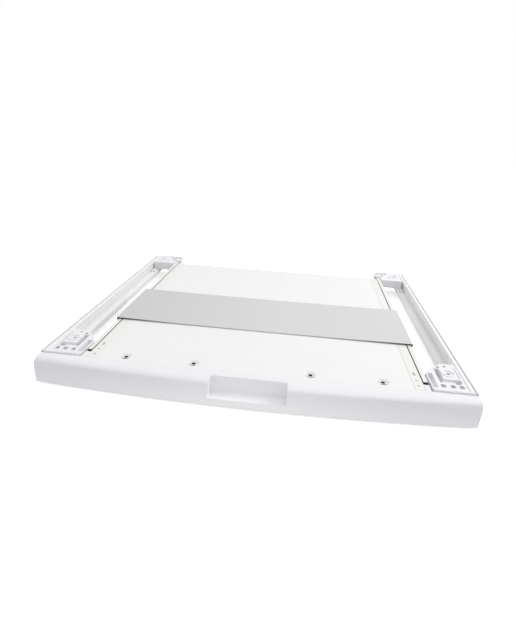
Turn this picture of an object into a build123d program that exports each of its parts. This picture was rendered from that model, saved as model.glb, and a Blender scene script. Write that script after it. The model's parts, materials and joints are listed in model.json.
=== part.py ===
from build123d import *
import math
import os

# A kit that stacks a dryer on a washing machine. A frame of two side rails and four
# corner mouldings lies between them, and a shelf slides out of it to the front.
# Millimetres: X runs to the right, Y to the rear and Z up from the ground.
# The origin is on the ground, under the middle of the closed kit.

# The whole kit
kit_width = 597.0
frame_depth = 510.0
kit_height = 41.0
fascia_reach = 37.5

# Clearances and the overrun of every cut
seat_gap = 0.3
seam_gap = 0.5
rolling_gap = 0.3
pin_clearance = 0.05
screw_clearance = 0.1
overrun = 5.0

# Rubber under the frame
grip_thickness = 2.0
grip_lip_thickness = 1.2
grip_lip_height = 3.0
pad_margin = 1.5

# Side rails and the covers that clip to their outer legs
cover_thickness = 4.0
cover_edge_radius = 1.8
cover_groove_width = 1.5
cover_groove_depth = 1.8
rail_sheet = 1.5
rail_bend = 1.5
rail_crown_width = 6.5
rail_lip_height = 5.0
rail_step = 1.5
rail_ledge_width = 10.5
rail_ledge_depth = 18.0
rail_return_height = 11.0

# Open slot between a side rail and a runner track
slot_width = 38.3

# Runner tracks, which are fixed to the corner mouldings
track_sheet = 1.2
track_bend = 1.4
track_height = 17.2
track_flange_width = 20.8
track_top_width = 7.3
track_front_depth = 3.0
track_top_depth = 22.0
track_cut_depth = 5.0
track_rear_inset = 30.0
stop_height = 4.0
stop_length = 7.0

# Shelf
shelf_drop = 3.0
panel_rear_inset = 44.0
panel_thickness = 15.0
panel_edge_radius = 1.0
runner_gap = 1.8
runner_top_width = 14.3
runner_foot_width = 12.3
runner_mark_depth = 0.4
runner_slot_length = 9.0
runner_hole_radius = 1.9
runner_slot_depth = 41.0
runner_front_hole_depths = (10.5, 24.5)
runner_rear_hole_insets = (64.0, 20.0)
runner_screw_inset = 5.5
runner_screw_shares = (0.09, 0.5, 0.94)

# Rollers and the pins that they turn on. The rear ones are wider, so that the
# top flanges of the tracks hold them down while the shelf hangs out.
front_roller_radius = 7.0
front_roller_width = 8.5
rear_roller_radius = 7.0
rear_roller_width = 15.5
roller_chamfer = 0.6
roller_inset = 3.7
front_roller_depth = 30.0
rear_roller_inset = 60.0
roller_reserve = 80.0
pin_radius = 2.5
pin_shoulder_radius = 3.0
pin_head_radius = 3.7
pin_head_thickness = 1.0

# Cross plate, which ties the two tracks together above the shelf
plate_thickness = 1.2
plate_front_depth = 130.5
plate_rear_depth = 272.5
plate_sag = 1.2
plate_tab_height = 12.0
rivet_radius = 1.6
rivet_head_radius = 3.0
rivet_head_height = 1.1
rivet_inset = 22.0

# Fascia of the shelf
fascia_bow = 14.0
fascia_ground_gap = 1.6
fascia_wall = 3.0
fascia_rib = 2.0
brow_start = 17.5
brow_end = 10.5
brow_drop = 1.2
brow_bulge = 0.28
shoulder_setback = 5.1
shoulder_drop = 6.0
shoulder_bulge = 0.85
face_bulge = 0.7
chin_rise = 6.4
chin_setback = 4.6
chin_bulge = 1.6
flange_margin = 17.3
flange_depth = 22.0
flange_thickness = 3.0
lug_depth = 15.0
lug_height = 8.0
lug_gap = 0.5
fascia_end_radius = 7.0
fascia_edge_radius = 5.0
fascia_bow_margin = 0.3
ribs_per_side = 4

# Finger recess in the middle of the fascia
recess_width = 103.4
recess_back_setback = 14.7
recess_draft = 2.8
recess_depth = 25.5
recess_scoop = 4.6
recess_lip_drop = 22.3
recess_lip_width = 3.0
recess_corner_radius = 3.0

# Countersunk screws between the panel and the fascia
fascia_screw_margin = 39.3
fascia_inner_screw_share = 0.455
fascia_screw_depth = 11.4
fascia_screw_radius = 2.2
fascia_screw_head_radius = 7.0
fascia_screw_sink = 0.9
countersink_angle = 90.0
fascia_screw_length = 17.0
drive_width = 1.7
drive_length = 6.0
drive_depth = 3.0

# Pan-head screws of the frame
pan_radius = 2.0
pan_head_radius = 3.4
pan_head_height = 1.8
track_screw_length = 12.0
ledge_screw_length = 12.0
runner_screw_length = 12.0
track_screw_drop = 12.0
ledge_screw_inset = 5.7
front_track_screw_depths = (22.0, 40.0)
front_ledge_screw_depths = (48.0, 66.0)
rear_screw_insets = (7.0, 18.0)

# Corner mouldings
corner_wall = 3.0
corner_radius = 1.2
corner_nose_radius = 3.0
wall_edge_radius = 0.8
boss_rise = 1.0
boss_radius = 10.0
boss_rim = 3.0
boss_dish = 1.5
boss_hole_radius = 3.0
boss_hole_depth = 15.0
boss_inset = 32.0
front_corner_length = 76.0
front_corner_cut = 31.0
front_corner_bulge = 4.4
front_boss_depth = 48.5
rear_corner_length = 55.0
rear_boss_inset = 25.0
rear_corner_reach = 10.5

# Pockets moulded into the top of a front corner, measured from its inner front edge
trough_offset = (5.0, 27.0)
trough_size = (7.0, 36.0)
trough_depth = 7.0
channel_offset = (17.5, 41.5)
channel_size = (7.0, 37.0)
channel_depth = 15.0
step_offset = (31.0, 26.5)
step_size = (22.0, 12.0)
step_depth = 4.0
pocket_size = (6.6, 8.0)
pocket_depth = 12.0
pocket_offsets = ((16.0, 14.0), (28.5, 14.0), (40.0, 14.0), (40.5, 27.5))
slit_offset = (43.6, 50.0)
slit_size = (1.3, 30.0)
slit_depth = 5.0
window_offset = (21.0, 64.5)
window_size = (5.0, 4.6)
pilot_radius = 2.4
front_pilot_offset = (31.5, 68.0)
wall_notch_offsets = (2.6, 28.0)
wall_notch_size = (4.0, 1.6)
column_cell_rows = 3
column_cell_columns = 2

# Pockets and ribs of a rear corner, measured from its inner front edge
rear_pilot_offset = (19.0, 18.0)
rear_pocket_offsets = ((5.6, 31.0), (5.6, 45.0), (15.0, 47.0), (-3.6, 45.0))
rear_wall_height = 34.0
gusset_count = 3
gusset_thickness = 2.5

# Clips that lock the rear ends of the rails
clip_width = 4.2
clip_length = 27.0
clip_thickness = 2.4
clip_slot_width = 1.6
clip_hook_drop = 4.0
clip_hook_length = 5.0

# Places across the kit, on the right
half_width = kit_width / 2
cover_inner_x = half_width - cover_thickness
rail_wall_x = cover_inner_x - rail_crown_width
rail_foot_x = rail_wall_x + rail_step
ledge_edge_x = rail_foot_x - rail_ledge_width
track_outer_x = ledge_edge_x - slot_width
track_inner_x = track_outer_x - track_flange_width
track_edge_x = track_outer_x - track_top_width
runner_edge_x = track_edge_x - runner_gap
panel_edge_x = runner_edge_x - runner_top_width
corner_inner_x = track_outer_x + seat_gap
corner_outer_x = rail_wall_x - seat_gap
column_outer_x = ledge_edge_x - seat_gap
end_wall_x = cover_inner_x - seat_gap
roller_inner_x = panel_edge_x + roller_inset
boss_x = corner_inner_x + boss_inset
clip_x = (ledge_edge_x + rail_foot_x) / 2
ledge_screw_x = ledge_edge_x + ledge_screw_inset

# Places along the kit
seam_y = -(frame_depth - fascia_reach) / 2
rear_y = seam_y + frame_depth
nose_y = seam_y - fascia_reach
frame_front_y = seam_y + seam_gap
rail_front_y = frame_front_y + corner_wall + seat_gap
rear_wall_y = rear_y - corner_wall
rail_rear_y = rear_wall_y - seat_gap
front_corner_y = seam_y + front_corner_length
rear_corner_y = rear_y - rear_corner_length
front_boss_y = seam_y + front_boss_depth
rear_boss_y = rear_y - rear_boss_inset
track_front_y = seam_y + track_front_depth
track_top_front_y = seam_y + track_top_depth
track_rear_y = rear_y - track_rear_inset
panel_rear_y = rear_y - panel_rear_inset
panel_depth = panel_rear_y - seam_y
front_roller_y = seam_y + front_roller_depth
rear_roller_y = rear_y - rear_roller_inset
shelf_travel = rear_roller_y - front_roller_y - roller_reserve
runner_front_y = seam_y + seat_gap

# Levels
deck_z = kit_height - boss_rise
ledge_z = kit_height - rail_ledge_depth
shelf_z = kit_height - shelf_drop
track_bottom_z = shelf_z - track_height
track_floor_z = track_bottom_z + track_sheet
panel_bottom_z = shelf_z - panel_thickness
plate_bottom_z = kit_height - plate_thickness
front_roller_z = shelf_z - track_sheet - rolling_gap - front_roller_radius
rear_roller_z = track_floor_z + rolling_gap + rear_roller_radius
track_screw_z = kit_height - track_screw_drop
recess_floor_z = shelf_z - recess_depth
recess_lip_z = shelf_z - recess_lip_drop


def cross_section(y):
    """Upright plane across the kit, whose negative extrusions run to the rear."""
    return Plane.XZ.offset(-y)


def from_corner(front_y, offset):
    """Place in a corner moulding, given from its inner front edge."""
    return (corner_inner_x + offset[0], front_y + offset[1])


def mirrored(right_piece):
    """Left-hand copy of a right-hand piece."""
    with BuildPart() as left_piece:
        mirror(right_piece, about=Plane.YZ)
    return left_piece.part


def both_sides(right_piece):
    """A right-hand group together with its left-hand copy."""
    with BuildPart() as pair:
        add(right_piece)
        mirror(right_piece, about=Plane.YZ)
    return pair.part


# Side rail: one strip folded into a return, a ledge, an inner wall, a crown and an outer leg
half_rail = rail_sheet / 2
with BuildPart() as right_side_rail:
    with BuildSketch(cross_section(rail_front_y)):
        with BuildLine():
            FilletPolyline(
                (ledge_edge_x + half_rail, ledge_z - rail_return_height),
                (ledge_edge_x + half_rail, ledge_z - half_rail),
                (rail_foot_x + half_rail, ledge_z - half_rail),
                (rail_foot_x + half_rail, kit_height - rail_lip_height - rail_step),
                (rail_wall_x + half_rail, kit_height - rail_lip_height),
                (rail_wall_x + half_rail, kit_height - half_rail),
                (cover_inner_x - half_rail, kit_height - half_rail),
                (cover_inner_x - half_rail, grip_thickness),
                radius=rail_bend,
            )
        trace(line_width=rail_sheet)
    extrude(amount=rail_front_y - rail_rear_y)
    # Two slits in the ledge, one on each side of the clip
    with BuildSketch(Plane.XY.offset(ledge_z)):
        with Locations((clip_x, rear_corner_y - seat_gap - clip_length / 2)):
            with GridLocations(clip_width + clip_slot_width, clip_length, 2, 1):
                SlotOverall(clip_length, clip_slot_width, rotation=90)
    extrude(amount=-rail_sheet - overrun, mode=Mode.SUBTRACT)
    ledge_screw_ys = [seam_y + depth for depth in front_ledge_screw_depths]
    ledge_screw_ys += [rear_corner_y + inset for inset in rear_screw_insets]
    with Locations(*[(ledge_screw_x, y, ledge_z) for y in ledge_screw_ys]):
        Hole(pan_radius + screw_clearance)

# Side cover: a moulded strip with a soft outer edge and a groove beside the rail's crown
with BuildPart() as right_side_cover:
    with BuildSketch(cross_section(frame_front_y)):
        with BuildLine():
            Polyline(
                (cover_inner_x, grip_thickness),
                (half_width, grip_thickness),
                (half_width, kit_height),
                (cover_inner_x + cover_groove_width, kit_height),
                (cover_inner_x + cover_groove_width, kit_height - cover_groove_depth),
                (cover_inner_x, kit_height - cover_groove_depth),
                close=True,
            )
        make_face()
    extrude(amount=frame_front_y - rear_y)
    outer_edges = right_side_cover.edges().filter_by(Axis.Y).group_by(Axis.X)[-1]
    rear_edges = right_side_cover.edges().filter_by(Axis.Z).group_by(Axis.Y)[-1]
    fillet([outer_edges.sort_by(Axis.Z)[-1], rear_edges.sort_by(Axis.X)[-1]], cover_edge_radius)

# Grip strip: rubber under the rail's leg and the cover, with a lip inside the leg
with BuildPart() as right_grip_strip:
    grip_inner_x = cover_inner_x - rail_sheet - grip_lip_thickness
    with BuildSketch(cross_section(frame_front_y)):
        with BuildLine():
            Polyline(
                (grip_inner_x, 0),
                (half_width, 0),
                (half_width, grip_thickness),
                (grip_inner_x, grip_thickness),
                close=True,
            )
        make_face()
    extrude(amount=frame_front_y - rear_y)
    with BuildSketch(Plane.XY.offset(grip_thickness)):
        with Locations((grip_inner_x + grip_lip_thickness / 2, (rail_front_y + rail_rear_y) / 2)):
            Rectangle(grip_lip_thickness, rail_rear_y - rail_front_y)
    extrude(amount=grip_lip_height)


def ring_seat(y):
    """Raised ring on a corner's deck that a foot of the dryer stands on."""
    with BuildSketch(Plane.XY.offset(deck_z)) as ring:
        with Locations((boss_x, y)):
            Circle(boss_radius)
    extrude(ring.sketch, amount=boss_rise)
    with Locations((boss_x, y, kit_height)):
        CounterBoreHole(
            radius=boss_hole_radius,
            counter_bore_radius=boss_radius - boss_rim,
            counter_bore_depth=boss_dish,
            depth=boss_hole_depth,
        )


def side_screw_holes(ys):
    """Holes across a corner's inner wall for the screws of the track."""
    with BuildSketch(Plane.YZ.offset(corner_inner_x)) as holes:
        with Locations(*[(y, track_screw_z) for y in ys]):
            Circle(pan_radius + screw_clearance)
    extrude(holes.sketch, amount=track_screw_length, mode=Mode.SUBTRACT)


def ledge_screw_holes(ys):
    """Holes up into a corner's table for the screws through the ledge."""
    with BuildSketch(Plane.XY.offset(ledge_z)) as holes:
        with Locations(*[(ledge_screw_x, y) for y in ys]):
            Circle(pan_radius + screw_clearance)
    extrude(holes.sketch, amount=ledge_screw_length, mode=Mode.SUBTRACT)


def sunk_pockets(places, size, depth, level):
    """Pockets with rounded corners, sunk from a level."""
    with BuildSketch(Plane.XY.offset(level)) as pockets:
        with Locations(*places):
            RectangleRounded(size[0], size[1], corner_radius * min(size) / sum(size))
    extrude(pockets.sketch, amount=-depth, mode=Mode.SUBTRACT)


# Shared by the front corners
front_track_screw_ys = [seam_y + depth for depth in front_track_screw_depths]
front_ledge_screw_ys = [seam_y + depth for depth in front_ledge_screw_depths]
deck_mid_x = (corner_inner_x + corner_outer_x) / 2
column_mid_x = (corner_inner_x + column_outer_x) / 2
front_mid_y = (frame_front_y + front_corner_y) / 2
column_size = (column_outer_x - corner_inner_x, front_corner_y - frame_front_y)


def front_plan(outer_x):
    """Plan of a front corner, whose inner rear corner an arc cuts off."""
    with BuildSketch() as plan:
        with BuildLine():
            cut_front = (corner_inner_x, front_corner_y - front_corner_cut)
            cut_rear = (corner_inner_x + front_corner_cut, front_corner_y)
            SagittaArc(cut_front, cut_rear, front_corner_bulge)
            Polyline(
                cut_rear,
                (outer_x, front_corner_y),
                (outer_x, frame_front_y),
                (corner_inner_x, frame_front_y),
                cut_front,
            )
        make_face()
        fillet(plan.vertices().group_by(Axis.Y)[0].sort_by(Axis.X)[0], corner_nose_radius)
    return plan.sketch


# Front corner: a ribbed column on the ground that carries a deck over the ledge
with BuildPart() as front_right_corner:
    with BuildSketch(Plane.XY.offset(grip_thickness)):
        add(front_plan(column_outer_x))
    extrude(amount=ledge_z - grip_thickness)
    with BuildSketch(Plane.XY.offset(ledge_z)):
        add(front_plan(corner_outer_x))
    extrude(amount=deck_z - ledge_z)
    upright_edges = front_right_corner.edges().filter_by(Axis.Z).group_by(Axis.Y)[-1]
    fillet(upright_edges.group_by(Axis.X)[-1], corner_radius)
    # Front wall, which closes the end of the rail, with two notches in its top
    with BuildSketch(Plane.XY.offset(grip_thickness)):
        with Locations(((corner_inner_x + end_wall_x) / 2, frame_front_y + corner_wall / 2)):
            Rectangle(end_wall_x - corner_inner_x, corner_wall)
        add(front_plan(end_wall_x), mode=Mode.INTERSECT)
    extrude(amount=kit_height - grip_thickness)
    wall_edges = front_right_corner.edges().filter_by(Axis.X).group_by(Axis.Z)[-1]
    fillet(wall_edges.sort_by(Axis.Y)[0], wall_edge_radius)
    with BuildSketch(cross_section(frame_front_y)):
        with Locations(*[(corner_inner_x + offset, kit_height) for offset in wall_notch_offsets]):
            Rectangle(wall_notch_size[0], 2 * wall_notch_size[1])
    extrude(amount=-corner_wall, mode=Mode.SUBTRACT)
    # Cells under the deck leave walls and ribs of one thickness
    cell_x = (column_size[0] - corner_wall) / column_cell_columns
    cell_y = (column_size[1] - corner_wall) / column_cell_rows
    with BuildSketch() as inner_plan:
        add(front_plan(column_outer_x))
        offset(amount=-corner_wall, mode=Mode.REPLACE)
    with BuildSketch(Plane.XY.offset(grip_thickness)):
        with Locations((column_mid_x, front_mid_y)):
            with GridLocations(cell_x, cell_y, column_cell_columns, column_cell_rows):
                Rectangle(cell_x - corner_wall, cell_y - corner_wall)
        add(inner_plan.sketch, mode=Mode.INTERSECT)
    extrude(amount=ledge_z - grip_thickness - corner_wall, mode=Mode.SUBTRACT)
    # Ring for a foot of the dryer, then pockets, step and channel in the deck
    ring_seat(front_boss_y)
    sunk_pockets([from_corner(seam_y, trough_offset)], trough_size, trough_depth, deck_z)
    sunk_pockets([from_corner(seam_y, channel_offset)], channel_size, channel_depth, deck_z)
    sunk_pockets([from_corner(seam_y, step_offset)], step_size, step_depth, deck_z)
    front_pockets = [from_corner(seam_y, place) for place in pocket_offsets]
    sunk_pockets(front_pockets, pocket_size, pocket_depth, deck_z)
    sunk_pockets([from_corner(seam_y, slit_offset)], slit_size, slit_depth, kit_height)
    sunk_pockets([from_corner(seam_y, window_offset)], window_size, pocket_depth, deck_z)
    with BuildSketch(Plane.XY.offset(deck_z)):
        with Locations(from_corner(seam_y, front_pilot_offset)):
            Circle(pilot_radius)
    extrude(amount=-pocket_depth, mode=Mode.SUBTRACT)
    side_screw_holes(front_track_screw_ys)
    ledge_screw_holes(front_ledge_screw_ys)

# Rear corner: a deck on the ledge, with a rear wall and gussets below it
rear_screw_ys = [rear_corner_y + inset for inset in rear_screw_insets]
rear_mid_y = (rear_corner_y + rear_y) / 2
reach_mid_x = corner_inner_x - rear_corner_reach / 2
rear_wall_length = end_wall_x - corner_inner_x + rear_corner_reach
with BuildPart() as rear_right_corner:
    with BuildSketch(Plane.XY.offset(ledge_z)):
        with Locations((deck_mid_x, rear_mid_y)):
            Rectangle(corner_outer_x - corner_inner_x, rear_corner_length)
        # The deck reaches inwards behind the end of the track
        with Locations((reach_mid_x, (track_rear_y + seat_gap + rear_y) / 2)):
            Rectangle(rear_corner_reach, track_rear_inset - seat_gap)
    extrude(amount=deck_z - ledge_z)
    # Rear wall, which closes the end of the rail
    with BuildSketch(Plane.XY.offset(kit_height - rear_wall_height)):
        with Locations((end_wall_x - rear_wall_length / 2, rear_y - corner_wall / 2)):
            Rectangle(rear_wall_length, corner_wall)
    extrude(amount=rear_wall_height)
    # Gussets that run down from the slot to the foot of the rear wall
    gusset_pitch = (column_outer_x - corner_inner_x - gusset_thickness) / (gusset_count - 1)
    for index in range(gusset_count):
        with BuildSketch(Plane.YZ.offset(corner_inner_x + index * gusset_pitch)):
            with BuildLine():
                Polyline(
                    (rear_corner_y, ledge_z),
                    (rear_wall_y, ledge_z),
                    (rear_wall_y, kit_height - rear_wall_height),
                    close=True,
                )
            make_face()
        extrude(amount=gusset_thickness)
    rear_pockets = [from_corner(rear_corner_y, place) for place in rear_pocket_offsets]
    sunk_pockets(rear_pockets, pocket_size, pocket_depth, deck_z)
    ring_seat(rear_boss_y)
    with BuildSketch(Plane.XY.offset(deck_z)):
        with Locations(from_corner(rear_corner_y, rear_pilot_offset)):
            Circle(pilot_radius)
    extrude(amount=-pocket_depth, mode=Mode.SUBTRACT)
    side_screw_holes(rear_screw_ys)
    ledge_screw_holes(rear_screw_ys)

# Clip: a tongue on the ledge against the rear corner, with a hook down each slit
clip_front_y = rear_corner_y - seat_gap - clip_length
with BuildPart() as right_rail_clip:
    with BuildSketch(Plane.XY.offset(ledge_z)):
        with Locations((clip_x, clip_front_y + clip_length / 2)):
            SlotOverall(clip_length, clip_width, rotation=90)
        with Locations((clip_x, rear_corner_y - seat_gap - clip_width / 2)):
            Rectangle(clip_width, clip_width)
    extrude(amount=clip_thickness)
    hook_x = (clip_width + clip_slot_width) / 2
    hook_width = clip_slot_width - seat_gap
    with BuildSketch(Plane.XY.offset(ledge_z + clip_thickness)):
        with Locations((clip_x, clip_front_y + clip_length / 2)):
            Rectangle(2 * hook_x + hook_width, clip_hook_length)
    extrude(amount=-clip_thickness)
    with BuildSketch(Plane.XY.offset(ledge_z)):
        with Locations((clip_x, clip_front_y + clip_length / 2)):
            with GridLocations(2 * hook_x, clip_hook_length, 2, 1):
                Rectangle(hook_width - seat_gap, clip_hook_length)
    extrude(amount=-clip_hook_drop)

# Runner track: a channel that opens towards the shelf
half_track = track_sheet / 2
with BuildPart() as right_track:
    with BuildSketch(cross_section(track_front_y)):
        with BuildLine():
            FilletPolyline(
                (track_inner_x, track_bottom_z + half_track),
                (track_outer_x - half_track, track_bottom_z + half_track),
                (track_outer_x - half_track, shelf_z - half_track),
                (track_edge_x, shelf_z - half_track),
                radius=track_bend,
            )
        trace(line_width=track_sheet)
    extrude(amount=track_front_y - track_rear_y)
    # The top flange and the rim of the web are cut back around the fascia's lug
    with BuildSketch(Plane.XY.offset(shelf_z)):
        with Locations((track_outer_x, (track_front_y + track_top_front_y) / 2)):
            Rectangle(2 * track_flange_width, track_top_front_y - track_front_y)
    extrude(amount=-track_cut_depth, mode=Mode.SUBTRACT)
    # Stop across the floor, which the rear roller meets when the shelf is fully out
    stop_y = rear_roller_y - shelf_travel - rear_roller_radius - seat_gap - stop_length / 2
    with BuildSketch(Plane.XY.offset(track_floor_z)):
        with Locations((roller_inner_x + rear_roller_width / 2, stop_y)):
            Rectangle(rear_roller_width, stop_length)
    extrude(amount=stop_height, taper=math.degrees(math.atan(seat_gap)))
    # Holes in the web for the screws, the roller pin and the rivets
    track_screw_ys = front_track_screw_ys + rear_screw_ys
    rivet_ys = [seam_y + plate_front_depth + rivet_inset, seam_y + plate_rear_depth - rivet_inset]
    rivet_z = kit_height - plate_tab_height + rivet_head_radius
    with BuildSketch(Plane.YZ.offset(track_outer_x)):
        with Locations(*[(y, track_screw_z) for y in track_screw_ys]):
            Circle(pan_radius + screw_clearance)
        with Locations((front_roller_y, front_roller_z)):
            Circle(pin_shoulder_radius)
        with Locations(*[(y, rivet_z) for y in rivet_ys]):
            Circle(rivet_radius + screw_clearance)
    extrude(amount=-track_sheet, mode=Mode.SUBTRACT)

# Shelf runner: carries the panel's edge and roofs the rollers
runner_web_x = panel_edge_x + half_track
runner_screw_x = panel_edge_x - runner_screw_inset
runner_screw_ys = [seam_y + share * panel_depth for share in runner_screw_shares]
runner_hole_ys = [seam_y + depth for depth in runner_front_hole_depths]
runner_hole_ys += [panel_rear_y - inset for inset in runner_rear_hole_insets]
with BuildPart() as right_shelf_runner:
    with BuildSketch(cross_section(runner_front_y)):
        with BuildLine():
            FilletPolyline(
                (panel_edge_x - runner_foot_width, panel_bottom_z - half_track),
                (runner_web_x, panel_bottom_z - half_track),
                (runner_web_x, shelf_z - half_track),
                (runner_edge_x, shelf_z - half_track),
                radius=track_bend,
            )
        trace(line_width=track_sheet)
    extrude(amount=runner_front_y - panel_rear_y)
    # Shallow marks that its forming leaves in the runner's top
    runner_top_x = (panel_edge_x + runner_edge_x) / 2
    with BuildSketch(Plane.XY.offset(shelf_z)):
        with Locations((runner_top_x, seam_y + runner_slot_depth)):
            SlotOverall(runner_slot_length, 2 * runner_hole_radius, rotation=90)
        with Locations(*[(runner_top_x, y) for y in runner_hole_ys]):
            Circle(runner_hole_radius)
    extrude(amount=-runner_mark_depth, mode=Mode.SUBTRACT)
    # Holes for the rear roller's pin and for the screws up into the panel
    with BuildSketch(Plane.YZ.offset(panel_edge_x)):
        with Locations((rear_roller_y, rear_roller_z)):
            Circle(pin_shoulder_radius)
    extrude(amount=track_sheet, mode=Mode.SUBTRACT)
    with BuildSketch(Plane.XY.offset(panel_bottom_z)):
        with Locations(*[(runner_screw_x, y) for y in runner_screw_ys]):
            Circle(pan_radius + screw_clearance)
    extrude(amount=-track_sheet, mode=Mode.SUBTRACT)


def roller(y, z, radius, width):
    """Nylon roller with a bore, on a line across the kit."""
    with BuildPart() as wheel:
        with BuildSketch(Plane.YZ.offset(roller_inner_x)):
            with Locations((y, z)):
                Circle(radius)
                Circle(pin_radius + pin_clearance, mode=Mode.SUBTRACT)
        extrude(amount=width)
        rims = wheel.edges().filter_by(GeomType.CIRCLE).group_by(SortBy.RADIUS)[-1]
        chamfer(rims, roller_chamfer)
    return wheel.part


def roller_pin(y, z, root_x, shoulder_end, tip_x):
    """Stepped pin that runs from a sheet through the roller to a head."""
    side = math.copysign(1, tip_x - root_x)
    with BuildPart() as pin:
        with BuildSketch(Plane.YZ.offset(root_x)):
            with Locations((y, z)):
                Circle(pin_shoulder_radius)
        extrude(amount=shoulder_end - root_x)
        with BuildSketch(Plane.YZ.offset(shoulder_end)):
            with Locations((y, z)):
                Circle(pin_radius)
        extrude(amount=tip_x - shoulder_end)
        with BuildSketch(Plane.YZ.offset(tip_x)):
            with Locations((y, z)):
                Circle(pin_head_radius)
        extrude(amount=side * pin_head_thickness)
    return pin.part


right_front_roller = roller(front_roller_y, front_roller_z, front_roller_radius, front_roller_width)
right_rear_roller = roller(rear_roller_y, rear_roller_z, rear_roller_radius, rear_roller_width)
pin_inner_x = roller_inner_x - seat_gap
front_shoulder_x = roller_inner_x + front_roller_width + seat_gap
rear_tip_x = roller_inner_x + rear_roller_width + seat_gap
front_pin = roller_pin(front_roller_y, front_roller_z, track_outer_x, front_shoulder_x, pin_inner_x)
rear_pin = roller_pin(rear_roller_y, rear_roller_z, panel_edge_x, pin_inner_x, rear_tip_x)

# Panel: a laminated board with countersunk holes along its front edge
fascia_screw_y = seam_y + fascia_screw_depth
outer_screw_x = panel_edge_x - fascia_screw_margin
inner_screw_x = outer_screw_x * fascia_inner_screw_share
fascia_screw_xs = (-outer_screw_x, -inner_screw_x, inner_screw_x, outer_screw_x)
runner_screw_places = [(side * runner_screw_x, y) for side in (-1, 1) for y in runner_screw_ys]
with BuildPart() as shelf_panel:
    with BuildSketch(Plane.XY.offset(panel_bottom_z)):
        with Locations((0, (seam_y + panel_rear_y) / 2)):
            Rectangle(2 * panel_edge_x, panel_depth)
    extrude(amount=panel_thickness)
    rear_rim = shelf_panel.edges().filter_by(Axis.X).group_by(Axis.Y)[-1]
    side_edges = shelf_panel.edges().filter_by(Axis.Y).group_by(Axis.Z)[0]
    fillet(rear_rim + side_edges, panel_edge_radius)
    with Locations(*[(x, fascia_screw_y, shelf_z) for x in fascia_screw_xs]):
        CounterSinkHole(
            radius=fascia_screw_radius + screw_clearance,
            counter_sink_radius=fascia_screw_head_radius + fascia_screw_sink + screw_clearance,
            counter_sink_angle=countersink_angle,
        )
    with BuildSketch(Plane.XY.offset(panel_bottom_z)):
        with Locations(*runner_screw_places):
            Circle(pan_radius + screw_clearance)
    extrude(amount=runner_screw_length, mode=Mode.SUBTRACT)

# Fascia: a thin-walled moulding whose section follows a shallow arc across the kit.
# The section is drawn in a plane through the arc's upright axis and turned about it.
fascia_bottom_z = fascia_ground_gap
bow_radius = (half_width**2 + fascia_bow**2) / (2 * fascia_bow)
bow_axis_y = nose_y + bow_radius
bow_half_angle = math.asin((half_width + overrun) / bow_radius)
section_plane = Plane(
    origin=(0, bow_axis_y, 0),
    x_dir=(-math.sin(bow_half_angle), -math.cos(bow_half_angle), 0),
    z_dir=(-math.cos(bow_half_angle), math.sin(bow_half_angle), 0),
)


def bowed_form(inset):
    """Solid inside the fascia's outer skin, drawn in by an inset."""
    back = bow_radius - fascia_reach - overrun
    shoulder_z = shelf_z - shoulder_drop
    chin_z = fascia_bottom_z + chin_rise
    with BuildPart() as form:
        with BuildSketch(section_plane):
            with BuildLine():
                Line((back, shelf_z), (bow_radius - brow_start, shelf_z))
                brow_tip = (bow_radius - brow_end, shelf_z - brow_drop)
                SagittaArc((bow_radius - brow_start, shelf_z), brow_tip, brow_bulge)
                shoulder = (bow_radius - shoulder_setback, shoulder_z)
                SagittaArc(brow_tip, shoulder, shoulder_bulge)
                nose = (bow_radius, chin_z)
                SagittaArc(shoulder, nose, face_bulge)
                chin = (bow_radius - chin_setback, fascia_bottom_z)
                SagittaArc(nose, chin, chin_bulge)
                Polyline(chin, (back, fascia_bottom_z), (back, shelf_z))
            make_face()
            if inset:
                offset(amount=-inset, mode=Mode.REPLACE)
        revolve(axis=Axis((0, bow_axis_y, 0), (0, 0, 1)), revolution_arc=math.degrees(2 * bow_half_angle))
        # The ends are rounded in plan, and their lower corners are rounded too
        end_x = half_width - inset
        plan_radius = bow_radius - inset + fascia_bow_margin
        end_y = bow_axis_y - math.sqrt(plan_radius**2 - end_x**2)
        with BuildSketch() as plan:
            with BuildLine():
                ThreePointArc((-end_x, end_y), (0, bow_axis_y - plan_radius), (end_x, end_y))
                back_y = seam_y + overrun
                Polyline((end_x, end_y), (end_x, back_y), (-end_x, back_y), (-end_x, end_y))
            make_face()
            fillet(plan.vertices().group_by(Axis.Y)[0], fascia_edge_radius - inset)
        extrude(amount=kit_height, mode=Mode.INTERSECT)
        with BuildSketch(Plane.XZ.offset(-seam_y)) as front_view:
            with Locations((0, fascia_bottom_z + inset)):
                Rectangle(2 * end_x, kit_height, align=(Align.CENTER, Align.MIN))
            fillet(front_view.vertices().group_by(Axis.Y)[0], fascia_end_radius - inset)
        extrude(amount=fascia_reach + overrun, both=bool(inset), mode=Mode.INTERSECT)
    return form.part


fascia_skin = bowed_form(0)
fascia_hollow = bowed_form(fascia_wall)
recess_back_y = seam_y - recess_back_setback
flange_width = 2 * (panel_edge_x - flange_margin)

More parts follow.
